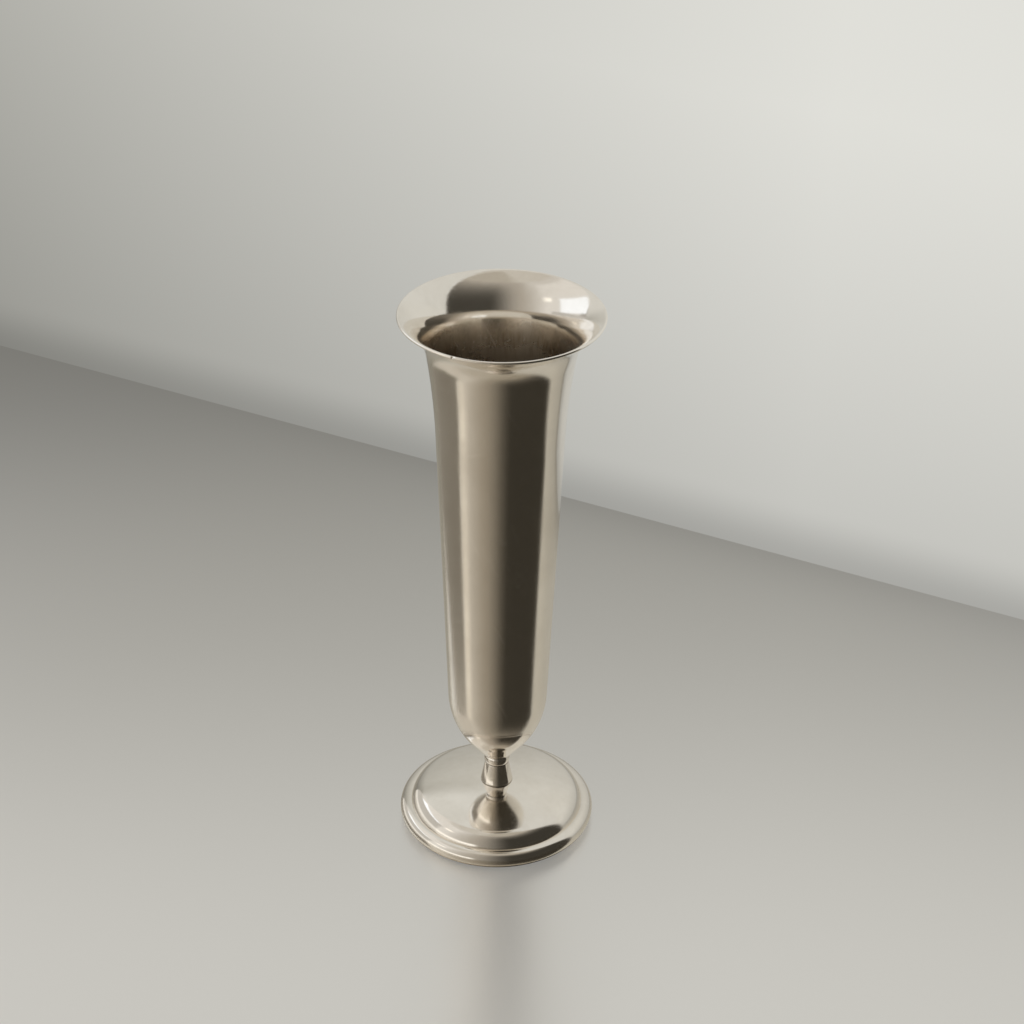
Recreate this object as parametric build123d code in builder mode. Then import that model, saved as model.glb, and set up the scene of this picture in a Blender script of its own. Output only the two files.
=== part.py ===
# Trumpet vase: spun body and foot, turned ring and knop, clamped by one centre stud.
# Millimetres, +Z up, origin on the vase's axis at the surface it stands on.
import os
from math import sqrt

from build123d import *

os.makedirs("parts", exist_ok=True)

# Overall sizes, measured on the outside
vase_height = 160.0
mouth_radius = 27.0
foot_radius = 27.5

# Body: one spun sheet from the floor to the rounded lip
body_wall = 0.8
flare_radius = 19.6
flare_height = 149.0
tube_top_radius = 17.05
tube_top_height = 124.0
belly_radius = 13.8
belly_height = 42.0
ogee_radius = 8.6
ogee_height = 27.5
neck_radius = 3.9
neck_height = 21.2

# Neck ring and knop: turned pieces threaded on the stud
ring_radius = 3.65
ring_edge_radius = 3.3
ring_thickness = 2.6
knop_radius = 4.5
knop_top_radius = 3.3
knop_seat_radius = 4.3
knop_edge_height = 0.4
knop_relief = 0.1

# Foot: a spun dome, a rounder shoulder and a half-round rim with a turned-in lip
foot_wall = 0.8
foot_height = 12.3
dome_radius = 62.0
shoulder_radius = 17.4
rim_radius = 2.4
groove_angle = 107.0
lip_width = 1.5

# Fixings: stud with a flat head, washer and hexagon nut
stud_radius = 1.5
stud_clearance = 0.1
stud_tail = 1.0
head_radius = 2.6
head_thickness = 1.0
washer_radius = 3.5
washer_thickness = 0.6
nut_width = 5.5
nut_thickness = 2.4
nut_clearance = 0.05

# Filling of the foot: weight, closing plate and pad
weight_bore_radius = 5.5
weight_clearance = 0.3
plate_thickness = 0.6
plate_clearance = 0.2
pad_proud = 0.5
pad_clearance = 0.3

# Places that follow from the sizes
hole_radius = stud_radius + stud_clearance
half_body = body_wall / 2
half_foot = foot_wall / 2
rim_center_radius = foot_radius - rim_radius
rim_center_height = pad_proud + rim_radius
lip_top = pad_proud + foot_wall
plate_top = lip_top + plate_thickness
ring_bottom = neck_height - ring_thickness
floor_top = neck_height + body_wall


def dome_top(radius):
    """Height of the foot's outer dome at a radius."""
    return foot_height - dome_radius + sqrt(dome_radius**2 - radius**2)


def dome_middle(radius):
    """Point on the middle of the dome's sheet, below the outer point at a radius."""
    lift = sqrt(dome_radius**2 - radius**2)
    return (radius - half_foot * radius / dome_radius, dome_top(radius) - half_foot * lift / dome_radius)


washer_top = dome_top(washer_radius) - foot_wall
washer_bottom = washer_top - washer_thickness
nut_bottom = washer_bottom - nut_thickness
stud_end = nut_bottom - stud_tail

# The body's sheet is drawn along its middle, then thickened to both sides
with BuildPart() as trumpet_body:
    with BuildSketch(Plane.XZ):
        with BuildLine():
            tube_top = (tube_top_radius - half_body, tube_top_height)
            belly_point = (belly_radius - half_body, belly_height)
            tube = Line(tube_top, belly_point)
            flare = TangentArc(tube_top, (flare_radius - half_body, flare_height), tangent=-(tube % 0))
            lip_point = (mouth_radius - half_body, vase_height - half_body)
            TangentArc(flare @ 1, lip_point, tangent=flare % 1)
            belly = TangentArc(belly_point, (ogee_radius - half_body, ogee_height), tangent=tube % 1)
            floor_edge = (neck_radius - half_body, neck_height + half_body)
            TangentArc(belly @ 1, floor_edge, tangent=belly % 1)
            Line(floor_edge, (hole_radius + half_body, neck_height + half_body))
            offset(amount=half_body)
        make_face()
    revolve(axis=Axis.Z)
trumpet_body.part.label = "trumpet_body"
export_step(trumpet_body.part, "parts/trumpet_body.step")

# Bead between the body's floor and the knop
with BuildPart() as neck_ring:
    with BuildSketch(Plane.XZ):
        with BuildLine():
            middle = (ring_radius, (ring_bottom + neck_height) / 2)
            ThreePointArc((ring_edge_radius, ring_bottom), middle, (ring_edge_radius, neck_height))
            Line((ring_edge_radius, neck_height), (hole_radius, neck_height))
            Line((hole_radius, neck_height), (hole_radius, ring_bottom))
            Line((hole_radius, ring_bottom), (ring_edge_radius, ring_bottom))
        make_face()
    revolve(axis=Axis.Z)
neck_ring.part.label = "neck_ring"
export_step(neck_ring.part, "parts/neck_ring.step")

# Tapered knop with a rounded lower edge, hollowed underneath so that its edge seats on the dome
with BuildPart() as knop:
    with BuildSketch(Plane.XZ):
        with BuildLine():
            seat_edge = (knop_seat_radius, dome_top(knop_seat_radius))
            widest = (knop_radius, dome_top(knop_seat_radius) + knop_edge_height)
            hollow_edge = (hole_radius, foot_height + knop_relief)
            top_edge = (knop_top_radius, ring_bottom)
            flank = Line(top_edge, widest)
            TangentArc(widest, seat_edge, tangent=flank % 1)
            Line(top_edge, (hole_radius, ring_bottom))
            Line((hole_radius, ring_bottom), hollow_edge)
            Line(hollow_edge, seat_edge)
        make_face()
    revolve(axis=Axis.Z)
knop.part.label = "knop"
export_step(knop.part, "parts/knop.step")

# The foot's sheet: dome, shoulder, groove, half-round rim and the lip under it
with BuildPart() as foot:
    with BuildSketch(Plane.XZ):
        with BuildLine():
            hole_edge = dome_middle(hole_radius + half_foot)
            dome = ThreePointArc(hole_edge, dome_middle(shoulder_radius / 2), dome_middle(shoulder_radius))
            rim_center = (rim_center_radius, rim_center_height)
            rim = CenterArc(rim_center, rim_radius - half_foot, groove_angle, -groove_angle - 90)
            TangentArc(dome @ 1, rim @ 0, tangent=dome % 1)
            Line(rim @ 1, (rim_center_radius - lip_width + half_foot, pad_proud + half_foot))
            offset(amount=half_foot)
        make_face()
    revolve(axis=Axis.Z)
foot.part.label = "foot"
export_step(foot.part, "parts/foot.step")

# Stud with its head soldered to the body's floor
with BuildPart() as centre_stud:
    with BuildSketch(Plane.XY.offset(stud_end)):
        Circle(stud_radius)
    extrude(amount=floor_top - stud_end)
    with BuildSketch(Plane.XY.offset(floor_top)):
        Circle(head_radius)
    extrude(amount=head_thickness)
centre_stud.part.label = "centre_stud"
export_step(centre_stud.part, "parts/centre_stud.step")

with BuildPart() as washer:
    with BuildSketch(Plane.XY.offset(washer_bottom)):
        Circle(washer_radius)
        Circle(hole_radius, mode=Mode.SUBTRACT)
    extrude(amount=washer_thickness)
washer.part.label = "washer"
export_step(washer.part, "parts/washer.step")

with BuildPart() as nut:
    with BuildSketch(Plane.XY.offset(nut_bottom)):
        RegularPolygon(nut_width / 2, 6, major_radius=False)
        Circle(stud_radius + nut_clearance, mode=Mode.SUBTRACT)
    extrude(amount=nut_thickness)
nut.part.label = "nut"
export_step(nut.part, "parts/nut.step")

# Cast ring that fills the dome up to the shoulder, open in the middle for the nut
with BuildPart() as foot_weight:
    with BuildSketch(Plane.XZ):
        with BuildLine():
            drop = foot_wall + weight_clearance
            inner_foot = (weight_bore_radius, plate_top)
            inner_top = (weight_bore_radius, dome_top(weight_bore_radius) - drop)
            outer_top = (shoulder_radius, dome_top(shoulder_radius) - drop)
            outer_foot = (shoulder_radius, plate_top)
            Polyline(inner_foot, inner_top, outer_top, outer_foot, close=True)
        make_face()
    revolve(axis=Axis.Z)
foot_weight.part.label = "foot_weight"
export_step(foot_weight.part, "parts/foot_weight.step")

# Plate held inside the rim by the turned-in lip
with BuildPart() as base_plate:
    with BuildSketch(Plane.XY.offset(lip_top)):
        Circle(rim_center_radius - plate_clearance)
    extrude(amount=plate_thickness)
base_plate.part.label = "base_plate"
export_step(base_plate.part, "parts/base_plate.step")

# Pad glued to the plate, standing proud of the rim
with BuildPart() as felt_pad:
    with BuildSketch():
        Circle(rim_center_radius - lip_width - pad_clearance)
    extrude(amount=lip_top)
felt_pad.part.label = "felt_pad"
export_step(felt_pad.part, "parts/felt_pad.step")
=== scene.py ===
from math import acos, atan2, cos, hypot, pi, radians, sin

import bmesh
import bpy
from mathutils import Matrix, Vector


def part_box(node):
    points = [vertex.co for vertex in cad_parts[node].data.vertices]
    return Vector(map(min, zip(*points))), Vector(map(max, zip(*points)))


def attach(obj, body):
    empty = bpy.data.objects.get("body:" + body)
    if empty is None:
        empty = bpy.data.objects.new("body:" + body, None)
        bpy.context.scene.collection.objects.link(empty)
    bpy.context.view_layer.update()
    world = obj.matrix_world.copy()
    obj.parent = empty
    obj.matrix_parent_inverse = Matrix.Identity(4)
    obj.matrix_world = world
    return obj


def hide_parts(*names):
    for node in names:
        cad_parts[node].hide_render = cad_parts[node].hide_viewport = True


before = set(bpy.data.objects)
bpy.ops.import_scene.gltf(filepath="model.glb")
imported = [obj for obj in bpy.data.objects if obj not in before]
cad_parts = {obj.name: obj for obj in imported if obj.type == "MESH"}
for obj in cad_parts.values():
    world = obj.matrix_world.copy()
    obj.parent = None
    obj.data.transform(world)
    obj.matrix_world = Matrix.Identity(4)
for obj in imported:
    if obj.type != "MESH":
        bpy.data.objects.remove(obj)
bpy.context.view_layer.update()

mm = 0.001  # profiles are drawn in millimetres, the scene is in metres
nearlyStraight = 1e-9  # an arc that leans less is drawn as a line
mergeDistance = 0.000001  # joins the first and last rows of a turned mesh, in metres
sceneRoot = bpy.context.scene.collection
print("frame loaded:", len(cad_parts), "nodes")


# Lines in the radius and height plane, as lists of points

def tangentArc(start, end, heading, steps):
    # arc that leaves start along heading and ends at end; gives its points and last heading
    size = hypot(*heading)
    hx, hz = heading[0] / size, heading[1] / size
    dx, dz = end[0] - start[0], end[1] - start[1]
    lean = dz * hx - dx * hz
    if abs(lean) < nearlyStraight:
        return straightLine(start, end, steps), (hx, hz)
    turn = (dx * dx + dz * dz) / (2 * lean)  # signed radius, positive turns left
    cx, cz = start[0] - hz * turn, start[1] + hx * turn
    first = atan2(start[1] - cz, start[0] - cx)
    sweep = atan2(end[1] - cz, end[0] - cx) - first
    sweep = sweep % (2 * pi) if turn > 0 else -((-sweep) % (2 * pi))
    points = roundArc((cx, cz), abs(turn), first, first + sweep, steps)
    side = 1 if turn > 0 else -1
    return points, (-sin(first + sweep) * side, cos(first + sweep) * side)


def roundArc(center, radius, first, last, steps):
    angles = [first + (last - first) * i / steps for i in range(steps + 1)]
    return [(center[0] + radius * cos(a), center[1] + radius * sin(a)) for a in angles]


def straightLine(start, end, steps):
    dx, dz = end[0] - start[0], end[1] - start[1]
    shares = [i / steps for i in range(steps + 1)]
    return [(start[0] + dx * s, start[1] + dz * s) for s in shares]


def joinLines(*lines):
    joined = list(lines[0])
    for line in lines[1:]:
        joined += line[1:]  # each line starts where the last one ended
    return joined


def sheetOutline(middle, half, endSteps=8):
    # closed outline of a sheet of even wall around its middle line, with round ends
    count = len(middle)
    headings = []
    for i in range(count):
        before, after = middle[max(i - 1, 0)], middle[min(i + 1, count - 1)]
        headings.append(atan2(after[1] - before[1], after[0] - before[0]))
    left = [(p[0] - half * sin(a), p[1] + half * cos(a)) for p, a in zip(middle, headings)]
    right = [(p[0] + half * sin(a), p[1] - half * cos(a)) for p, a in zip(middle, headings)]
    farEnd = roundArc(middle[-1], half, headings[-1] + pi / 2, headings[-1] - pi / 2, endSteps)
    nearEnd = roundArc(middle[0], half, headings[0] - pi / 2, headings[0] - 3 * pi / 2, endSteps)
    return left[:-1] + farEnd + right[-2::-1][:-1] + nearEnd


# Node helpers

def addNode(tree, kind, **settings):
    node = tree.nodes.new(kind)
    for name, value in settings.items():
        setattr(node, name, value)
    return node


def fill(node, **values):
    # sets a node's unlinked inputs by name, with spaces written as underscores
    for name, value in values.items():
        node.inputs[name.replace("_", " ")].default_value = value
    return node


def mathNode(tree, operation, first, second=None, clamp=False):
    node = addNode(tree, "ShaderNodeMath", operation=operation, use_clamp=clamp)
    for socket, value in zip(node.inputs, (first, second)):
        if isinstance(value, bpy.types.NodeSocket):
            tree.links.new(value, socket)
        elif value is not None:
            socket.default_value = value
    return node.outputs[0]


def mapValue(tree, value, kind="LINEAR", **ends):
    node = fill(addNode(tree, "ShaderNodeMapRange", interpolation_type=kind), **ends)
    tree.links.new(value, node.inputs["Value"])
    return node.outputs["Result"]


def smoothStep(tree, value, low, high, start=0.0):
    # rises softly from start to 1 between low and high
    return mapValue(tree, value, "SMOOTHSTEP", From_Min=low, From_Max=high, To_Min=start)


def blendValues(tree, first, second, share):
    # a share of the first value and the rest of the second
    part = mathNode(tree, "MULTIPLY", first, share)
    rest = mathNode(tree, "MULTIPLY", second, 1 - share)
    return mathNode(tree, "ADD", part, rest)


def scaleAxes(tree, vector, factors):
    node = addNode(tree, "ShaderNodeVectorMath", operation="MULTIPLY")
    node.inputs[1].default_value = factors
    tree.links.new(vector, node.inputs[0])
    return node.outputs["Vector"]


def vectorLength(tree, vector):
    node = addNode(tree, "ShaderNodeVectorMath", operation="LENGTH")
    tree.links.new(vector, node.inputs[0])
    return node.outputs["Value"]


def noiseValue(tree, vector, **settings):
    node = fill(addNode(tree, "ShaderNodeTexNoise"), **settings)
    tree.links.new(vector, node.inputs["Vector"])
    return node.outputs["Fac"]


def splitPlace(tree, vector):
    place = addNode(tree, "ShaderNodeSeparateXYZ")
    tree.links.new(vector, place.inputs[0])
    return place


def addSocket(tree, name, direction, kind, value=None):
    socket = tree.interface.new_socket(name=name, in_out=direction, socket_type=kind)
    if value is not None:
        socket.default_value = value
    return socket


# Geometry Nodes lathe: turns the object's own line of points about the Z axis

def makeLatheTree():
    tree = bpy.data.node_groups.new("lathe", "GeometryNodeTree")
    addSocket(tree, "Geometry", "INPUT", "NodeSocketGeometry")
    addSocket(tree, "Segments", "INPUT", "NodeSocketInt", 192)
    addSocket(tree, "Merge Distance", "INPUT", "NodeSocketFloat", mergeDistance)
    addSocket(tree, "Material", "INPUT", "NodeSocketMaterial")
    addSocket(tree, "Geometry", "OUTPUT", "NodeSocketGeometry")
    link = tree.links.new
    given = addNode(tree, "NodeGroupInput")
    result = addNode(tree, "NodeGroupOutput")
    count = addNode(tree, "GeometryNodeAttributeDomainSize", component="MESH")
    grid = fill(addNode(tree, "GeometryNodeMeshGrid"), Size_X=1.0, Size_Y=1.0)
    place = addNode(tree, "GeometryNodeInputPosition")
    parts = addNode(tree, "ShaderNodeSeparateXYZ")
    linePlace = addNode(tree, "GeometryNodeInputPosition")
    sample = addNode(
        tree, "GeometryNodeSampleIndex", data_type="FLOAT_VECTOR", domain="POINT", clamp=True)
    turn = addNode(tree, "ShaderNodeVectorRotate", rotation_type="Z_AXIS")
    move = addNode(tree, "GeometryNodeSetPosition")
    merge = addNode(tree, "GeometryNodeMergeByDistance")
    smooth = addNode(tree, "GeometryNodeSetShadeSmooth")
    realize = addNode(tree, "GeometryNodeRealizeInstances")
    finish = addNode(tree, "GeometryNodeSetMaterial")
    link(given.outputs["Geometry"], count.inputs["Geometry"])
    link(count.outputs["Point Count"], grid.inputs["Vertices X"])
    link(mathNode(tree, "ADD", given.outputs["Segments"], 1), grid.inputs["Vertices Y"])
    link(place.outputs[0], parts.inputs[0])
    along = mathNode(tree, "ADD", parts.outputs["X"], 0.5)  # 0 to 1 along the line
    around = mathNode(tree, "ADD", parts.outputs["Y"], 0.5)  # 0 to 1 round the axis
    last = mathNode(tree, "SUBTRACT", count.outputs["Point Count"], 1)
    index = mathNode(tree, "ROUND", mathNode(tree, "MULTIPLY", along, last))
    link(given.outputs["Geometry"], sample.inputs["Geometry"])
    link(linePlace.outputs[0], sample.inputs["Value"])
    link(index, sample.inputs["Index"])
    link(sample.outputs["Value"], turn.inputs["Vector"])
    link(mathNode(tree, "MULTIPLY", around, 2 * pi), turn.inputs["Angle"])
    link(grid.outputs["Mesh"], move.inputs["Geometry"])
    link(turn.outputs["Vector"], move.inputs["Position"])
    link(move.outputs["Geometry"], merge.inputs["Geometry"])
    link(given.outputs["Merge Distance"], merge.inputs["Distance"])
    link(merge.outputs["Geometry"], smooth.inputs["Geometry"])
    link(smooth.outputs["Geometry"], realize.inputs["Geometry"])
    link(realize.outputs["Geometry"], finish.inputs["Geometry"])
    link(given.outputs["Material"], finish.inputs["Material"])
    link(finish.outputs["Geometry"], result.inputs["Geometry"])
    return tree


latheTree = makeLatheTree()
latheSockets = latheTree.interface.items_tree
latheInputs = {item.name: item.identifier for item in latheSockets if item.in_out == "INPUT"}


def turnPiece(name, line, material, segments, node):
    # sweeps a line of (radius, height) points into a closed plain mesh that stands for a CAD node
    lineMesh = bpy.data.meshes.new(name + "_line")
    points = [(r * mm, 0, z * mm) for r, z in line]
    lineMesh.from_pydata(points, [(i, i + 1) for i in range(len(points) - 1)], [])
    lineObject = bpy.data.objects.new(name + "_line", lineMesh)
    sceneRoot.objects.link(lineObject)
    modifier = lineObject.modifiers.new("lathe", "NODES")
    modifier.node_group = latheTree
    modifier[latheInputs["Segments"]] = segments
    modifier[latheInputs["Merge Distance"]] = mergeDistance
    modifier[latheInputs["Material"]] = material
    depsgraph = bpy.context.evaluated_depsgraph_get()
    mesh = bpy.data.meshes.new_from_object(lineObject.evaluated_get(depsgraph))
    lineObject.modifiers.remove(modifier)
    bpy.data.objects.remove(lineObject)
    bpy.data.meshes.remove(lineMesh)
    mesh.name = name
    work = bmesh.new()
    work.from_mesh(mesh)
    bmesh.ops.recalc_face_normals(work, faces=work.faces)
    if work.calc_volume(signed=True) < 0:
        bmesh.ops.reverse_faces(work, faces=work.faces)
    openEdges = sum(1 for edge in work.edges if not edge.is_manifold)
    work.to_mesh(mesh)
    work.free()
    inside = mesh.attributes.new("inside", "FLOAT", "POINT")
    for vertex in mesh.vertices:  # 1 where the surface faces the axis
        out = Vector((vertex.co.x, vertex.co.y, 0)).normalized()
        inside.data[vertex.index].value = 1.0 if vertex.normal.dot(out) < 0 else 0.0
    piece = bpy.data.objects.new(name, mesh)
    sceneRoot.objects.link(piece)
    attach(piece, "root")
    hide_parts(node)
    print(f"{name}: {len(mesh.polygons)} faces, {openEdges} open edges")
    return piece


# Shader groups shared by the finishes

def newGroup(name, inputs, outputs):
    tree = bpy.data.node_groups.new(name, "ShaderNodeTree")
    for label, kind, value in inputs:
        addSocket(tree, label, "INPUT", kind, value)
    for label, kind in outputs:
        addSocket(tree, label, "OUTPUT", kind)
    return tree, addNode(tree, "NodeGroupInput"), addNode(tree, "NodeGroupOutput")


def makeScratchGroup():
    # thin straight rubs in three directions, from noise stretched into lines
    tree, given, result = newGroup(
        "rubbing marks",
        [("Vector", "NodeSocketVector", None),
         ("Scale", "NodeSocketFloat", 900.0),
         ("Amount", "NodeSocketFloat", 0.5)],
        [("Mask", "NodeSocketFloat"), ("Height", "NodeSocketFloat")],
    )
    link = tree.links.new
    turns = [(0.4, 0.2, 0.5), (1.3, -0.5, 2.1), (-0.6, 1.0, 3.9)]
    stretch = (0.035, 1.0, 1.0)  # how far a noise cell is drawn out into a line
    low, high = 0.64, 0.72  # noise that makes the edge and the middle of a rub
    total = None
    for turn in turns:
        mapping = fill(addNode(tree, "ShaderNodeMapping"), Rotation=turn)
        noise = fill(addNode(tree, "ShaderNodeTexNoise"), Detail=2.0, Roughness=0.5)
        link(given.outputs["Vector"], mapping.inputs["Vector"])
        link(scaleAxes(tree, mapping.outputs["Vector"], stretch), noise.inputs["Vector"])
        link(given.outputs["Scale"], noise.inputs["Scale"])
        rub = mapValue(tree, noise.outputs["Fac"], From_Min=low, From_Max=high)
        total = rub if total is None else mathNode(tree, "MAXIMUM", total, rub)
    mask = mathNode(tree, "MULTIPLY", total, given.outputs["Amount"])
    link(mask, result.inputs["Mask"])
    link(mathNode(tree, "MULTIPLY", mask, -1.0), result.inputs["Height"])
    return tree


def makeHazeGroup():
    # soft patches where handling has dulled the polish, 0 clear to 1 dull
    tree, given, result = newGroup(
        "handling haze",
        [("Vector", "NodeSocketVector", None),
         ("Scale", "NodeSocketFloat", 60.0),
         ("Low", "NodeSocketFloat", 0.06),
         ("High", "NodeSocketFloat", 0.16)],
        [("Haze", "NodeSocketFloat"), ("Roughness", "NodeSocketFloat")],
    )
    link = tree.links.new
    finer = 9.0  # scale of the fine noise against the broad one
    broadShare = 0.75
    broad = fill(addNode(tree, "ShaderNodeTexNoise"), Detail=3.0, Roughness=0.55)
    fine = fill(addNode(tree, "ShaderNodeTexNoise"), Detail=4.0, Roughness=0.6)
    link(given.outputs["Vector"], broad.inputs["Vector"])
    link(given.outputs["Vector"], fine.inputs["Vector"])
    link(given.outputs["Scale"], broad.inputs["Scale"])
    link(mathNode(tree, "MULTIPLY", given.outputs["Scale"], finer), fine.inputs["Scale"])
    blend = blendValues(tree, broad.outputs["Fac"], fine.outputs["Fac"], broadShare)
    haze = mapValue(tree, blend, From_Min=0.38, From_Max=0.66)
    rough = addNode(tree, "ShaderNodeMapRange")
    link(haze, rough.inputs["Value"])
    link(given.outputs["Low"], rough.inputs["To Min"])
    link(given.outputs["High"], rough.inputs["To Max"])
    link(haze, result.inputs["Haze"])
    link(rough.outputs["Result"], result.inputs["Roughness"])
    return tree


scratchGroup = makeScratchGroup()
hazeGroup = makeHazeGroup()
print("shader groups built")


def newMaterial(name, metallic=0.0):
    material = bpy.data.materials.new(name)
    material.use_nodes = True
    tree = material.node_tree
    shader = tree.nodes["Principled BSDF"]
    shader.inputs["Metallic"].default_value = metallic
    coords = addNode(tree, "ShaderNodeTexCoord")
    return material, tree, shader, coords.outputs["Object"]


def useGroup(tree, group, vector, **values):
    node = addNode(tree, "ShaderNodeGroup", node_tree=group)
    fill(node, **values)
    tree.links.new(vector, node.inputs["Vector"])
    return node


def mixColors(tree, factor, first, second):
    mix = addNode(tree, "ShaderNodeMix", data_type="RGBA")
    tree.links.new(factor, mix.inputs["Factor"])
    for socket, value in ((mix.inputs[6], first), (mix.inputs[7], second)):
        if isinstance(value, bpy.types.NodeSocket):
            tree.links.new(value, socket)
        else:
            socket.default_value = (*value, 1)
    return mix.outputs[2]


def mixShaders(tree, factor, first, second):
    mix = addNode(tree, "ShaderNodeMixShader")
    for socket, value in zip(mix.inputs, (factor, first, second)):
        tree.links.new(value, socket)
    return mix.outputs[0]


def addBump(tree, shader, height, distance, strength=1.0):
    bump = fill(addNode(tree, "ShaderNodeBump"), Strength=strength, Distance=distance)
    tree.links.new(height, bump.inputs["Height"])
    tree.links.new(bump.outputs["Normal"], shader.inputs["Normal"])
    return bump


# Silver plate: polished, warm, rubbed by years of cleaning

silverLook = {
    "clean": (0.88, 0.835, 0.77),
    "dulled": (0.80, 0.75, 0.68),
    "tarnish": (0.77, 0.725, 0.66),
    "freckle": (0.56, 0.50, 0.43),
    # darker towards the bottom of the tube
    "deep": (0.56, 0.505, 0.435),
    "deepRise": (0.148, 0.135),
    "freckleScale": 1500.0,
    "freckleStretch": (1.0, 1.0, 0.05),
    "freckleRise": (0.42, 0.70),
    "tarnishRise": (0.149, 0.1425),
    "tubeRise": (0.022, 0.030),
    "insideRough": 1.6,
    "deepRough": 1.9,
    "filmMetal": 0.93,
    "drawScale": 420.0,
    "drawStretch": (1.0, 1.0, 0.012),
    "drawDepth": 0.000012,
    "dentDepth": 0.00025,
    # painted shade and tarnish for the groove of the foot and the seams of the stem
    "creviceShadeAndTarnish": (0.24, 0.205, 0.16),
    "roughLow": 0.07,
    "roughHigh": 0.15,
    "hazeScale": 55.0,
    "scratchScale": 1100.0,
    "scratchAmount": 0.5,
    "scratchRough": 0.12,
    "scratchDepth": 0.000004,
}


def makeSilver(name, look):
    material, tree, shader, vector = newMaterial(name, metallic=1.0)
    link = tree.links.new
    haze = useGroup(tree, hazeGroup, vector, Scale=look["hazeScale"])
    fill(haze, Low=look["roughLow"], High=look["roughHigh"])
    rubs = useGroup(tree, scratchGroup, vector, Scale=look["scratchScale"])
    fill(rubs, Amount=look["scratchAmount"])
    color = mixColors(tree, haze.outputs["Haze"], look["clean"], look["dulled"])
    rubRough = mathNode(tree, "MULTIPLY", rubs.outputs["Mask"], look["scratchRough"])
    rough = mathNode(tree, "ADD", haze.outputs["Roughness"], rubRough)
    link(color, shader.inputs["Base Color"])
    link(rough, shader.inputs["Roughness"])
    addBump(tree, shader, rubs.outputs["Height"], look["scratchDepth"])
    return material


def nearSpots(tree, vector, spots):
    # 0 at the middle of each spot, rising to 1 at its radius
    nearest = None
    for spot in spots:
        away = addNode(tree, "ShaderNodeVectorMath", operation="DISTANCE")
        tree.links.new(vector, away.inputs[0])
        away.inputs[1].default_value = [part * mm for part in spot["place"]]
        hollow = smoothStep(tree, away.outputs["Value"], 0.0, spot["radius"] * mm)
        nearest = hollow if nearest is None else mathNode(tree, "MINIMUM", nearest, hollow)
    return nearest


def ageSilver(material, look, dents, shadedSeams):
    # the inside is seldom polished: brown and streaked below the flare,
    # with a film of dried water above
    tree = material.node_tree
    link = tree.links.new
    shader = tree.nodes["Principled BSDF"]
    vector = tree.nodes["Texture Coordinate"].outputs["Object"]
    height = splitPlace(tree, vector).outputs["Z"]
    tube = smoothStep(tree, height, *look["tubeRise"])
    attribute = addNode(tree, "ShaderNodeAttribute", attribute_name="inside")
    inside = mathNode(tree, "MULTIPLY", attribute.outputs["Fac"], tube)
    brown = mathNode(tree, "MULTIPLY", inside, smoothStep(tree, height, *look["tarnishRise"]))
    deep = smoothStep(tree, height, *look["deepRise"])
    runs = scaleAxes(tree, vector, look["freckleStretch"])  # dried runs of water down the tube
    specks = noiseValue(tree, runs, Scale=look["freckleScale"], Detail=4.0, Roughness=0.6)
    specks = smoothStep(tree, specks, *look["freckleRise"])
    insideColor = mixColors(tree, specks, look["tarnish"], look["freckle"])
    # darker towards the bottom of the tube
    insideColor = mixColors(tree, deep, insideColor, look["deep"])
    # painted shade and tarnish darken the groove of the foot and the seams of the stem, where polish
    # never reaches
    section = addNode(tree, "ShaderNodeCombineXYZ")
    link(vectorLength(tree, scaleAxes(tree, vector, (1.0, 1.0, 0.0))), section.inputs["X"])
    link(height, section.inputs["Z"])
    clear = nearSpots(tree, section.outputs[0], shadedSeams)
    polished = shader.inputs["Base Color"].links[0].from_socket
    outsideShadeAndTarnish = mixColors(tree, clear, look["creviceShadeAndTarnish"], polished)
    link(mixColors(tree, brown, outsideShadeAndTarnish, insideColor), shader.inputs["Base Color"])
    # the inside is duller, most of all deep down, and the film is less metallic
    keep = mapValue(tree, brown, To_Min=1.0, To_Max=look["insideRough"])
    deepBrown = mathNode(tree, "MULTIPLY", brown, deep)
    dull = mapValue(tree, deepBrown, To_Min=1.0, To_Max=look["deepRough"])
    duller = mathNode(tree, "MULTIPLY", keep, dull)
    rough = shader.inputs["Roughness"].links[0].from_socket
    link(mathNode(tree, "MULTIPLY", rough, duller), shader.inputs["Roughness"])
    film = mathNode(tree, "SUBTRACT", inside, brown)
    link(mapValue(tree, film, To_Min=1.0, To_Max=look["filmMetal"]), shader.inputs["Metallic"])
    # no cloth rubs deep inside, faint lines up the tube from drawing, then a few knocks
    rubBump = shader.inputs["Normal"].links[0].from_node
    rubHeight = rubBump.inputs["Height"].links[0].from_socket
    cleaned = mathNode(tree, "SUBTRACT", 1.0, brown)
    link(mathNode(tree, "MULTIPLY", rubHeight, cleaned), rubBump.inputs["Height"])
    squeezed = scaleAxes(tree, vector, look["drawStretch"])
    lines = noiseValue(tree, squeezed, Scale=look["drawScale"], Detail=3.0, Roughness=0.6)
    drawn = addBump(tree, shader, mathNode(tree, "MULTIPLY", lines, tube), look["drawDepth"])
    link(rubBump.outputs["Normal"], drawn.inputs["Normal"])
    knocks = addBump(tree, shader, nearSpots(tree, vector, dents), look["dentDepth"])
    link(drawn.outputs["Normal"], knocks.inputs["Normal"])


# knocks on the foot's groove, on its rim and at the front of the lip, in millimetres
dents = [
    {"place": (-23.2, 1.6, 6.0), "radius": 1.0},
    {"place": (-27.2, 0.0, 4.0), "radius": 1.0},
    {"place": (-11.8, -24.1, 159.8), "radius": 0.7},
]
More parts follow.
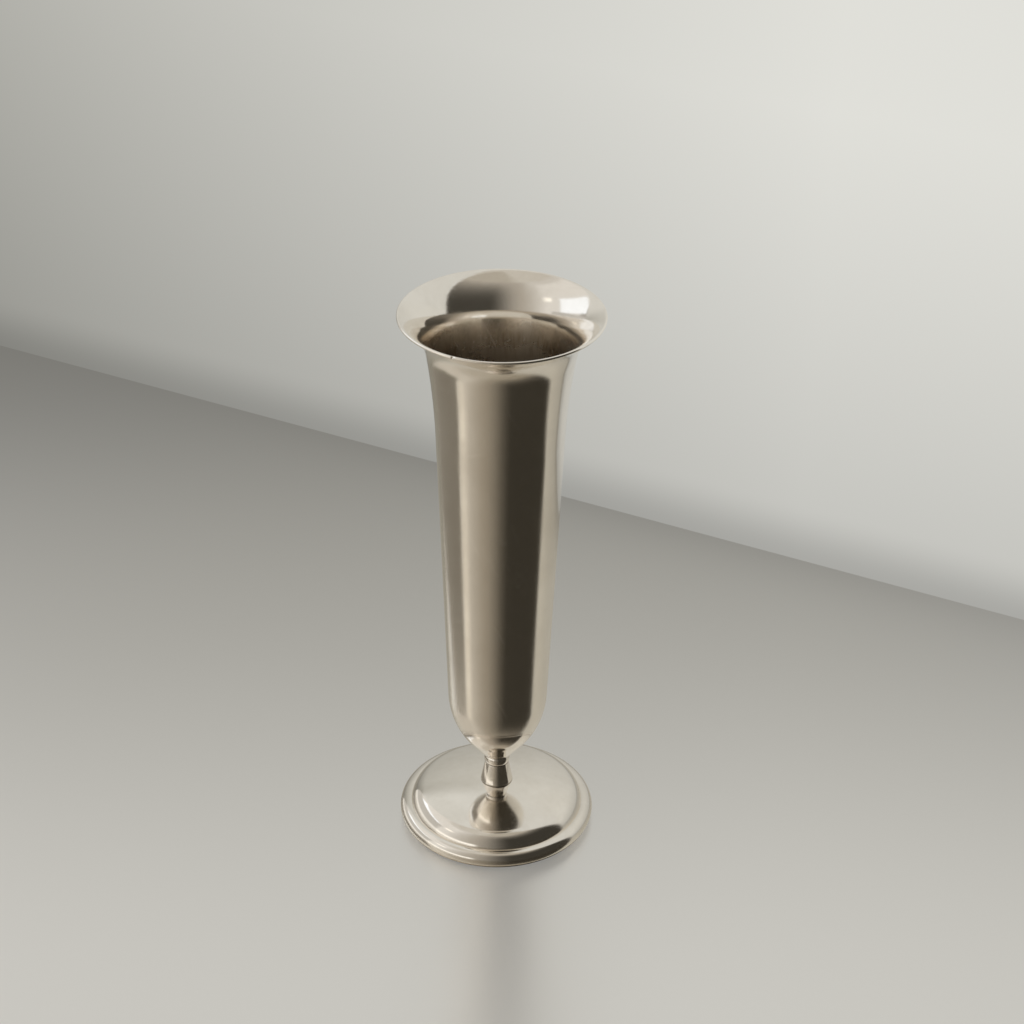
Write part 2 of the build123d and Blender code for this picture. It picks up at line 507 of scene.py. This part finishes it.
# radius and height of the foot's groove and of the stem's three seams, in millimetres, darkened with
# painted shade and tarnish
shadedSeams = [
    {"place": (23.8, 0, 5.5), "radius": 0.6},
    {"place": (3.3, 0, 21.2), "radius": 0.35},
    {"place": (3.3, 0, 18.6), "radius": 0.35},
    {"place": (4.3, 0, 12.15), "radius": 0.35},
]
silverPlate = makeSilver("silver plate", silverLook)
ageSilver(silverPlate, silverLook, dents, shadedSeams)
print("silver plate ready")


# Body: one spun sheet from its floor to the rounded lip

bodyShape = {
    "wall": 0.8,
    "flare": (19.6, 149.0),
    "tubeTop": (17.05, 124.0),
    "belly": (13.8, 42.0),
    "ogee": (8.6, 27.5),
    "neckRadius": 3.9,
    "holeRadius": 1.6,
    "segments": 192,
    "steps": {"flare": 36, "lip": 30, "tube": 28, "belly": 28, "neck": 24, "floor": 3},
}


def bodyLine(shape):
    low, high = (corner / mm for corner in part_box("trumpet_body"))
    half = shape["wall"] / 2
    tubeTop = (shape["tubeTop"][0] - half, shape["tubeTop"][1])
    belly = (shape["belly"][0] - half, shape["belly"][1])
    rise = (tubeTop[0] - belly[0], tubeTop[1] - belly[1])
    fall = (-rise[0], -rise[1])
    lip = (high.x - half, high.z - half)
    floorEdge = (shape["neckRadius"] - half, low.z + half)
    floorEnd = (shape["holeRadius"] + half, low.z + half)
    flareEnd = (shape["flare"][0] - half, shape["flare"][1])
    ogeeEnd = (shape["ogee"][0] - half, shape["ogee"][1])
    steps = shape["steps"]
    flareArc, flareHeading = tangentArc(tubeTop, flareEnd, rise, steps["flare"])
    lipArc, _ = tangentArc(flareArc[-1], lip, flareHeading, steps["lip"])
    bellyArc, bellyHeading = tangentArc(belly, ogeeEnd, fall, steps["belly"])
    neckArc, _ = tangentArc(bellyArc[-1], floorEdge, bellyHeading, steps["neck"])
    upper = joinLines(flareArc, lipArc)[::-1]
    tube = straightLine(tubeTop, belly, steps["tube"])
    floor = straightLine(floorEdge, floorEnd, steps["floor"])
    return sheetOutline(joinLines(upper, tube, bellyArc, neckArc, floor), half)


turnPiece("spun_body", bodyLine(bodyShape), silverPlate, bodyShape["segments"],
          "trumpet_body")


# Neck ring and knop: turned pieces on the stem

ringShape = {
    "edgeRadius": 3.3,
    "holeRadius": 1.6,
    "segments": 128,
    "steps": {"face": 20, "flat": 3, "bore": 2},
}


def ringLine(shape):
    low, high = (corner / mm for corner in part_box("neck_ring"))
    swell = high.x - shape["edgeRadius"]
    half = (high.z - low.z) / 2
    radius = (half * half + swell * swell) / (2 * swell)
    angle = atan2(half, radius - swell)
    middle = (low.z + high.z) / 2
    steps = shape["steps"]
    face = roundArc((high.x - radius, middle), radius, -angle, angle, steps["face"])
    top = straightLine(face[-1], (shape["holeRadius"], high.z), steps["flat"])
    bore = straightLine(top[-1], (shape["holeRadius"], low.z), steps["bore"])
    return joinLines(face, top, bore, straightLine(bore[-1], face[0], steps["flat"]))


turnPiece("turned_ring", ringLine(ringShape), silverPlate, ringShape["segments"],
          "neck_ring")

knopShape = {
    "radius": 4.5,
    "topRadius": 3.3,
    "seatRadius": 4.3,
    "edgeHeight": 0.4,
    "holeRadius": 1.6,
    "relief": 0.25,
    "segments": 128,
    "steps": {"flank": 20, "seat": 8, "flat": 3},
}


def knopLine(shape):
    low, high = (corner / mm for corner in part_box("knop"))
    topEdge = (shape["topRadius"], high.z)
    widest = (shape["radius"], low.z + shape["edgeHeight"])
    steps = shape["steps"]
    flank = straightLine(topEdge, widest, steps["flank"])
    fall = (widest[0] - topEdge[0], widest[1] - topEdge[1])
    seatArc, _ = tangentArc(widest, (shape["seatRadius"], low.z), fall, steps["seat"])
    hollow = (shape["holeRadius"], low.z + shape["relief"])
    under = straightLine(seatArc[-1], hollow, steps["flat"])
    bore = straightLine(under[-1], (shape["holeRadius"], high.z), steps["flat"])
    return joinLines(flank, seatArc, under, bore, straightLine(bore[-1], topEdge, steps["flat"]))


turnPiece("tapered_knop", knopLine(knopShape), silverPlate, knopShape["segments"],
          "knop")


# Foot: spun dome, rounder shoulder, half-round rim and the lip turned under it

footShape = {
    "wall": 0.8,
    "height": 12.27,
    "domeRadius": 75.0,
    "shoulderRadius": 20.5,
    "rimRadius": 2.6,
    "grooveAngle": 114.0,
    "lipWidth": 1.3,
    "holeRadius": 1.6,
    "segments": 192,
    "steps": {"dome": 40, "shoulder": 30, "rim": 36, "lip": 3},
}


def footLine(shape):
    low, high = (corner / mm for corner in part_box("foot"))
    half = shape["wall"] / 2
    middleRadius = shape["domeRadius"] - half
    center = (0, shape["height"] - shape["domeRadius"])
    inner = pi / 2 - (shape["holeRadius"] + half) / shape["domeRadius"]
    outer = acos(shape["shoulderRadius"] / shape["domeRadius"])
    steps = shape["steps"]
    dome = roundArc(center, middleRadius, inner, outer, steps["dome"])
    rimCenter = (high.x - shape["rimRadius"], low.z + shape["rimRadius"])
    groove = radians(shape["grooveAngle"])
    rim = roundArc(rimCenter, shape["rimRadius"] - half, groove, -pi / 2, steps["rim"])
    shoulder, _ = tangentArc(dome[-1], rim[0], (sin(outer), -cos(outer)), steps["shoulder"])
    lipEnd = (rimCenter[0] - shape["lipWidth"] + half, rim[-1][1])
    lip = straightLine(rim[-1], lipEnd, steps["lip"])
    return sheetOutline(joinLines(dome, shoulder, rim, lip), half)


turnPiece("spun_foot", footLine(footShape), silverPlate, footShape["segments"],
          "foot")


# Felt pad: a cut disc with soft edges

padShape = {
    "edge": 0.35,
    "segments": 128,
    "steps": {"edge": 8, "face": 16},
    "dark": (0.035, 0.075, 0.045),
    "pale": (0.085, 0.15, 0.095),
    "fibre": 2600.0,
    "fibreShare": 0.65,
    "fibreDepth": 0.0003,
    "fibreStrength": 0.6,
    "napCoarser": 12,
}


def makeFelt(look):
    material, tree, shader, vector = newMaterial("green felt")
    fibres = noiseValue(tree, vector, Scale=look["fibre"], Detail=6.0, Roughness=0.7, Distortion=1.2)
    nap = noiseValue(tree, vector, Scale=look["fibre"] / look["napCoarser"], Detail=3.0)
    blend = blendValues(tree, fibres, nap, look["fibreShare"])
    tone = mapValue(tree, blend, From_Min=0.35, From_Max=0.65)
    color = mixColors(tree, tone, look["dark"], look["pale"])
    tree.links.new(color, shader.inputs["Base Color"])
    fill(shader, Roughness=0.95, Sheen_Weight=0.3)
    addBump(tree, shader, fibres, look["fibreDepth"], look["fibreStrength"])
    return material


def padLine(shape):
    low, high = (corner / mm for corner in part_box("felt_pad"))
    edge = shape["edge"]
    steps = shape["steps"]
    lower = roundArc((high.x - edge, low.z + edge), edge, -pi / 2, 0, steps["edge"])
    upper = roundArc((high.x - edge, high.z - edge), edge, 0, pi / 2, steps["edge"])
    under = straightLine((0, low.z), lower[0], steps["face"])
    return joinLines(under, lower) + upper + straightLine(upper[-1], (0, high.z), steps["face"])[1:]


feltDisc = turnPiece("felt_disc", padLine(padShape), makeFelt(padShape), padShape["segments"],
                     "felt_pad")
print("turned pieces done")


# Fixings, weight and plate keep their solids and get finishes of their own

def dressNode(node, material):
    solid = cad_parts[node]
    solid.data.materials.clear()
    solid.data.materials.append(material)


fixingLooks = {
    "turned brass": {
        "clean": (0.78, 0.60, 0.30), "dulled": (0.52, 0.37, 0.17),
        "roughLow": 0.18, "roughHigh": 0.4},
    "zinc plated steel": {
        "clean": (0.66, 0.67, 0.68), "dulled": (0.48, 0.48, 0.46),
        "roughLow": 0.25, "roughHigh": 0.5},
    "tinned sheet": {
        "clean": (0.62, 0.62, 0.60), "dulled": (0.42, 0.41, 0.38),
        "roughLow": 0.3, "roughHigh": 0.55},
}
fixingMarks = {
    "hazeScale": 180.0,
    "scratchScale": 1600.0,
    "scratchAmount": 0.7,
    "scratchRough": 0.12,
    "scratchDepth": 0.00001,
}
fixings = {name: makeSilver(name, {**look, **fixingMarks}) for name, look in fixingLooks.items()}

castLook = {
    "dark": (0.035, 0.033, 0.031),
    "rust": (0.12, 0.065, 0.04),
    "grain": 1500.0,
    "grainDepth": 0.0004,
    "grainStrength": 0.7,
    "patchCoarser": 10,
    "roughLow": 0.55,
    "roughHigh": 0.85,
}


def makeCasting(look):
    material, tree, shader, vector = newMaterial("rough casting", metallic=0.4)
    link = tree.links.new
    grain = noiseValue(tree, vector, Scale=look["grain"], Detail=5.0, Roughness=0.65)
    patches = useGroup(tree, hazeGroup, vector, Scale=look["grain"] / look["patchCoarser"])
    fill(patches, Low=look["roughLow"], High=look["roughHigh"])
    color = mixColors(tree, patches.outputs["Haze"], look["dark"], look["rust"])
    link(color, shader.inputs["Base Color"])
    link(patches.outputs["Roughness"], shader.inputs["Roughness"])
    addBump(tree, shader, grain, look["grainDepth"], look["grainStrength"])
    return material


dressNode("centre_stud", fixings["turned brass"])
dressNode("washer", fixings["zinc plated steel"])
dressNode("nut", fixings["zinc plated steel"])
dressNode("base_plate", fixings["tinned sheet"])
dressNode("foot_weight", makeCasting(castLook))
print("fixings dressed")


# Stage: satin floor, pale wall and a round room of soft panels for the metal to mirror

stageLook = {
    # painted light on the brushed floor towards the front, painted shade towards the back
    "floorFrontPaintedLight": (0.96, 0.945, 0.915),
    "floorBackPaintedShade": (0.76, 0.745, 0.71),
    "floorPaintedLightFade": (0.10, -0.08),
    "floorPlain": 0.5,
    "floorPlainRise": (0.12, 0.32),
    # plain floor with painted shade towards the back left, pale again far off
    "floorPlainFrontPaintedLight": (0.56, 0.548, 0.515),
    "floorPlainBackPaintedShade": (0.19, 0.185, 0.168),
    "floorPlainPaintedShadeFade": (0.30, -0.10),
    "floorPlainShadeSlant": 0.15,
    "floorPlainFar": (0.50, 0.49, 0.46),
    "floorPlainFarFade": (0.30, 0.55),
    "floorSeenRough": 0.34,
    "floorBrush": 0.8,
    "floorBrushTurn": -10.0,
    "floorMirror": (0.75, 0.715, 0.65),
    "floorMirrorRough": 0.21,
    "floorReach": 3.0,
    # wall colours: painted shade to the left and at its foot, a painted pool of light across its top
    "wallDim": (0.235, 0.23, 0.20),
    "wallBright": (0.745, 0.74, 0.695),
    "wallTop": (0.735, 0.735, 0.70),
    "wallFade": (-0.40, 0.10),
    "wallShade": 0.72,
    "wallShadeHeight": 0.16,
    "wallSeam": 0.74,
    "wallSeamHeight": 0.022,
    "wallTopRise": (0.19, 0.29),
    "wallBase": ((-0.197, 0.287), (0.170, 0.104)),
    "wallReach": (0.12, 0.26),
    "wallHeight": 1.4,
    "ceiling": (0.62, 0.59, 0.53),
    "ceilingFront": (0.48, 0.445, 0.38),
    "ceilingTurn": (-25, 84),
    "ceilingTurnSoft": (20, 2),
    "ceilingSeen": (0.72, 0.71, 0.68),
    "roomRadius": 2.4,
    "roomHeight": 5.4,
    "roomColor": (0.68, 0.655, 0.61),
    "flagRadius": 0.45,
    "flagHeight": 1.5,
    "flagTurn": (-7, 88),
    "flagTurnSoft": (27, 5),
    "flagFade": (1.35, 0.38),
    "flagColor": (0.050, 0.046, 0.038),
    "ledgePlace": -0.378,
    "ledgeSpan": (-0.08, 0.42),
    "ledgeHeight": 0.262,
    "ledgeFoot": (0.92, 0.90, 0.85),
    "ledgeFootRise": (0.085, 0.05),
    "ledgePale": (0.74, 0.72, 0.68),
    "ledgePaleShare": 0.65,
    "ledgeDirectDepth": 1.5,
    "ledgeNear": (0.27, 0.255, 0.23),
    "ledgeFar": (0.32, 0.31, 0.285),
    "glossyBounces": 12,
}
# each panel: azimuths in degrees from the camera's side (right is positive) and their soft edges,
# heights in metres and their soft edge, radiance
roomPanels = {
    "front": {
        "turn": (-44, 84), "turnSoft": (18, 2),
        "rise": (-1.0, 9.0), "riseSoft": 0.1, "color": (0.45, 0.415, 0.36)},
    "window wall": {
        "turn": (-172, -62), "turnSoft": (6, 10),
        "rise": (-1.0, 4.2), "riseSoft": 0.1, "color": (0.84, 0.82, 0.78)},
    "low wall": {
        "turn": (-200, -125), "turnSoft": (5, 5),
        "rise": (-1.0, 1.1), "riseSoft": 0.6, "color": (0.40, 0.385, 0.355)},
    "window": {
        "turn": (-134, -90), "turnSoft": (1, 1),
        "rise": (0.8, 1.9), "riseSoft": 0.05, "color": (1.2, 1.26, 1.33)},
    "low window": {
        "turn": (-80, -24), "turnSoft": (4, 4),
        "rise": (-1.0, 0.35), "riseSoft": 0.2, "color": (1.25, 1.22, 1.15)},
    "side window": {
        "turn": (-76, -64), "turnSoft": (1.5, 4),
        "rise": (1.6, 2.0), "riseSoft": 0.1, "color": (1.35, 1.31, 1.22)},
}


def stageSheet(name, corners, faces, material):
    mesh = bpy.data.meshes.new(name)
    mesh.from_pydata(corners, [], faces)
    mesh.materials.append(material)
    sheet = bpy.data.objects.new(name, mesh)
    sceneRoot.objects.link(sheet)
    return sheet


def roundSheet(name, radius, height, material, sides=96):
    # upright round sheet about the axis that only the metal sees
    turns = [2 * pi * i / sides for i in range(sides)]
    ring = [(cos(turn) * radius, sin(turn) * radius) for turn in turns]
    corners = [(x, y, z) for z in (0, height) for x, y in ring]
    faces = [(i, i + sides, (i + 1) % sides + sides, (i + 1) % sides) for i in range(sides)]
    stageSheet(name, corners, faces, material).visible_camera = False


def softBand(tree, value, ends, soft):
    # 1 between the two ends, fading to 0 over each soft edge
    enter = smoothStep(tree, value, ends[0] - soft[0], ends[0] + soft[0])
    leave = smoothStep(tree, value, ends[1] - soft[1], ends[1] + soft[1])
    return mathNode(tree, "SUBTRACT", enter, leave, clamp=True)


def turnFromCamera(tree, place):
    back = mathNode(tree, "MULTIPLY", place.outputs["Y"], -1.0)
    return mathNode(tree, "DEGREES", mathNode(tree, "ARCTAN2", place.outputs["X"], back))


def makeFloor(look):
    # the camera sees a pale floor, half brushed metal near the vase, with painted light towards the
    # front and painted shade towards the back left; the vase mirrors a smoother one
    material, tree, seenShader, vector = newMaterial("satin floor", metallic=1.0)
    link = tree.links.new
    place = splitPlace(tree, vector)
    # painted light: the brushed floor is lighter towards the front
    near = smoothStep(tree, place.outputs["Y"], *look["floorPaintedLightFade"])
    brushedWithPaintedLight = mixColors(tree, near, look["floorBackPaintedShade"], look["floorFrontPaintedLight"])
    link(brushedWithPaintedLight, seenShader.inputs["Base Color"])
    fill(seenShader, Roughness=look["floorSeenRough"], Anisotropic=look["floorBrush"])
    grain = addNode(tree, "ShaderNodeTangent", direction_type="UV_MAP", uv_map="brush")
    link(grain.outputs[0], seenShader.inputs["Tangent"])
    mirrorShader = addNode(tree, "ShaderNodeBsdfPrincipled")
    fill(mirrorShader, Base_Color=(*look["floorMirror"], 1), Metallic=1.0)
    fill(mirrorShader, Roughness=look["floorMirrorRough"])
    plain = addNode(tree, "ShaderNodeEmission")
    # painted shade: the plain floor darkens towards the back left, then pales again far off
    slant = mathNode(tree, "MULTIPLY", place.outputs["X"], look["floorPlainShadeSlant"])
    depth = mathNode(tree, "ADD", place.outputs["Y"], slant)
    tone = smoothStep(tree, depth, *look["floorPlainPaintedShadeFade"])
    tone = mixColors(tree, tone, look["floorPlainBackPaintedShade"], look["floorPlainFrontPaintedLight"])
    far = smoothStep(tree, depth, *look["floorPlainFarFade"])
    link(mixColors(tree, far, tone, look["floorPlainFar"]), plain.inputs["Color"])
    away = vectorLength(tree, vector)
    share = smoothStep(tree, away, *look["floorPlainRise"], look["floorPlain"])
    seen = mixShaders(tree, share, seenShader.outputs[0], plain.outputs[0])
    cameraRay = addNode(tree, "ShaderNodeLightPath").outputs["Is Camera Ray"]
    both = mixShaders(tree, cameraRay, mirrorShader.outputs[0], seen)
    link(both, tree.nodes["Material Output"].inputs["Surface"])
    return material


def makeWall(look):
    # pale backdrop that glows for the camera and the metal, with painted shade to the left and along
    # its foot and a painted pool of light across its top; from behind it is clear, so that it hides
    # nothing
    material, tree, shader, vector = newMaterial("pale wall")
    link = tree.links.new
    place = splitPlace(tree, vector)
    height = place.outputs["Z"]
    left, right = look["wallFade"]
    along = mapValue(tree, place.outputs["X"], From_Min=left, From_Max=right)
    color = mixColors(tree, along, look["wallDim"], look["wallBright"])
    # painted shade along the foot of the wall and at its seam with the floor
    shade = mapValue(tree, height, From_Max=look["wallShadeHeight"], To_Min=look["wallShade"])
    paintedSeamShade = smoothStep(tree, height, 0.0, look["wallSeamHeight"], look["wallSeam"])
    shadedWallColor = addNode(tree, "ShaderNodeVectorMath", operation="SCALE")
    link(color, shadedWallColor.inputs[0])
    link(mathNode(tree, "MULTIPLY", shade, paintedSeamShade), shadedWallColor.inputs["Scale"])
    # painted light: a pool of light across the top of the wall
    top = smoothStep(tree, height, *look["wallTopRise"])
    color = mixColors(tree, top, shadedWallColor.outputs[0], look["wallTop"])
    link(color, shader.inputs["Base Color"])
    glow = addNode(tree, "ShaderNodeEmission")
    link(color, glow.inputs["Color"])
    path = addNode(tree, "ShaderNodeLightPath")
    seen = mathNode(tree, "MAXIMUM", path.outputs["Is Camera Ray"], path.outputs["Is Glossy Ray"])
    seen = mathNode(tree, "MAXIMUM", seen, path.outputs["Is Transmission Ray"])
    front = mixShaders(tree, seen, shader.outputs[0], glow.outputs[0])
    behind = addNode(tree, "ShaderNodeNewGeometry").outputs["Backfacing"]
    clear = addNode(tree, "ShaderNodeBsdfTransparent").outputs[0]
    both = mixShaders(tree, behind, front, clear)
    link(both, tree.nodes["Material Output"].inputs["Surface"])
    return material


def makeGlow(name):
    # an emission material; gives it, its tree, its shader and the split Object coordinates
    material = bpy.data.materials.new(name)
    material.use_nodes = True
    tree = material.node_tree
    tree.nodes.remove(tree.nodes["Principled BSDF"])
    glow = addNode(tree, "ShaderNodeEmission")
    tree.links.new(glow.outputs[0], tree.nodes["Material Output"].inputs["Surface"])
    coords = addNode(tree, "ShaderNodeTexCoord")
    return material, tree, glow, splitPlace(tree, coords.outputs["Object"])


def makeRoom(look, panels):
    material, tree, glow, place = makeGlow("soft panels")
    turn = turnFromCamera(tree, place)
    color = look["roomColor"]
    for panel in panels.values():
        soft = panel["riseSoft"]
        across = softBand(tree, turn, panel["turn"], panel["turnSoft"])
        upright = softBand(tree, place.outputs["Z"], panel["rise"], (soft, soft))
        color = mixColors(tree, mathNode(tree, "MULTIPLY", across, upright), color, panel["color"])
    tree.links.new(color, glow.inputs["Color"])
    return material


def makeFlag(look):
    # dark cloth before the vase, thinning to nothing at its left and top
    material, tree, glow, place = makeGlow("dark flag")
    fill(glow, Color=(*look["flagColor"], 1))
    across = softBand(tree, turnFromCamera(tree, place), look["flagTurn"], look["flagTurnSoft"])
    lower = smoothStep(tree, place.outputs["Z"], *look["flagFade"])
    mask = mathNode(tree, "MULTIPLY", across, lower)
    clear = addNode(tree, "ShaderNodeBsdfTransparent").outputs[0]
    both = mixShaders(tree, mask, clear, glow.outputs[0])
    tree.links.new(both, tree.nodes["Material Output"].inputs["Surface"])
    return material


def makeLedge(look):
    # pale at its foot and where the metal sees it directly, grey by way of the floor
    material, tree, glow, place = makeGlow("grey ledge")
    away = smoothStep(tree, place.outputs["Y"], *look["ledgeSpan"])
    face = mixColors(tree, away, look["ledgeNear"], look["ledgeFar"])
    rayDepth = addNode(tree, "ShaderNodeLightPath").outputs["Ray Depth"]
    direct = mathNode(tree, "LESS_THAN", rayDepth, look["ledgeDirectDepth"])
    paler = mathNode(tree, "MULTIPLY", direct, look["ledgePaleShare"])
    face = mixColors(tree, paler, face, look["ledgePale"])
    low = smoothStep(tree, place.outputs["Z"], *look["ledgeFootRise"])
    tree.links.new(mixColors(tree, low, face, look["ledgeFoot"]), glow.inputs["Color"])
    return material


reach = stageLook["floorReach"]
floorCorners = [(-reach, -reach, 0), (reach, -reach, 0), (reach, reach, 0), (-reach, reach, 0)]
floor = stageSheet("floor", floorCorners, [(0, 1, 2, 3)], makeFloor(stageLook))
brushTurn = radians(stageLook["floorBrushTurn"])
brushUv = floor.data.uv_layers.new(name="brush")
for loop in floor.data.loops:
    x, y, _ = floorCorners[loop.vertex_index]
    across = x * sin(brushTurn) - y * cos(brushTurn)
    along = x * cos(brushTurn) + y * sin(brushTurn)
    brushUv.data[loop.index].uv = (across, along)

baseLeft, baseRight = (Vector((*point, 0)) for point in stageLook["wallBase"])
wallWay = (baseRight - baseLeft).normalized()
wallLeft = baseLeft - wallWay * stageLook["wallReach"][0]
wallRight = baseRight + wallWay * stageLook["wallReach"][1]
wallUp = Vector((0, 0, stageLook["wallHeight"]))
wallCorners = [wallLeft, wallRight, wallRight + wallUp, wallLeft + wallUp]
stageSheet("wall", wallCorners, [(0, 1, 2, 3)], makeWall(stageLook))

roomFinish = makeRoom(stageLook, roomPanels)
roundSheet("room", stageLook["roomRadius"], stageLook["roomHeight"], roomFinish)
roundSheet("flag", stageLook["flagRadius"], stageLook["flagHeight"], makeFlag(stageLook))
ledgeTop = stageLook["ledgeHeight"]
ledgeNear, ledgeFar = ((stageLook["ledgePlace"], y) for y in stageLook["ledgeSpan"])
ledgeCorners = [(*ledgeNear, 0), (*ledgeFar, 0), (*ledgeFar, ledgeTop), (*ledgeNear, ledgeTop)]
ledge = stageSheet("ledge", ledgeCorners, [(0, 1, 2, 3)], makeLedge(stageLook))
ledge.visible_camera = False

world = bpy.data.worlds.new("soft ceiling")
bpy.context.scene.world = world
world.use_nodes = True
worldTree = world.node_tree
worldPlace = splitPlace(worldTree, addNode(worldTree, "ShaderNodeTexCoord").outputs["Generated"])
worldTurn = turnFromCamera(worldTree, worldPlace)
ceilingMask = softBand(worldTree, worldTurn, stageLook["ceilingTurn"], stageLook["ceilingTurnSoft"])
ceilingColor = mixColors(worldTree, ceilingMask, stageLook["ceiling"], stageLook["ceilingFront"])
worldSeen = addNode(worldTree, "ShaderNodeLightPath").outputs["Is Camera Ray"]
worldColor = mixColors(worldTree, worldSeen, ceilingColor, stageLook["ceilingSeen"])
worldTree.links.new(worldColor, worldTree.nodes["Background"].inputs["Color"])
bpy.context.scene.cycles.glossy_bounces = stageLook["glossyBounces"]
bpy.context.scene.view_settings.view_transform = "Standard"
print("stage set")


# Camera at the photograph's place, its lens worked out for a frame 1024 pixels wide

cameraPlace = {
    "location": (0.0033, -0.55797, 0.43833),
    "pitch": 31.154,
    "roll": 0.822,
    "focalPixels": 2438.92,
    "framePixels": 1024,
    "sensor": 36.0,
}
camera = bpy.data.cameras.new("camera")
camera.sensor_width = cameraPlace["sensor"]
camera.lens = cameraPlace["sensor"] * cameraPlace["focalPixels"] / cameraPlace["framePixels"]
cameraObject = bpy.data.objects.new("camera", camera)
cameraObject.location = cameraPlace["location"]
pitch = radians(cameraPlace["pitch"])
forward = Vector((0, cos(pitch), -sin(pitch)))
rightWay = Vector((1, 0, 0))
axes = Matrix((rightWay, rightWay.cross(forward), -forward)).transposed()
cameraObject.rotation_mode = "QUATERNION"
rollTurn = Matrix.Rotation(radians(cameraPlace["roll"]), 3, "Z")
cameraObject.rotation_quaternion = (axes @ rollTurn).to_quaternion()
sceneRoot.objects.link(cameraObject)
bpy.context.scene.camera = cameraObject
print("camera placed")
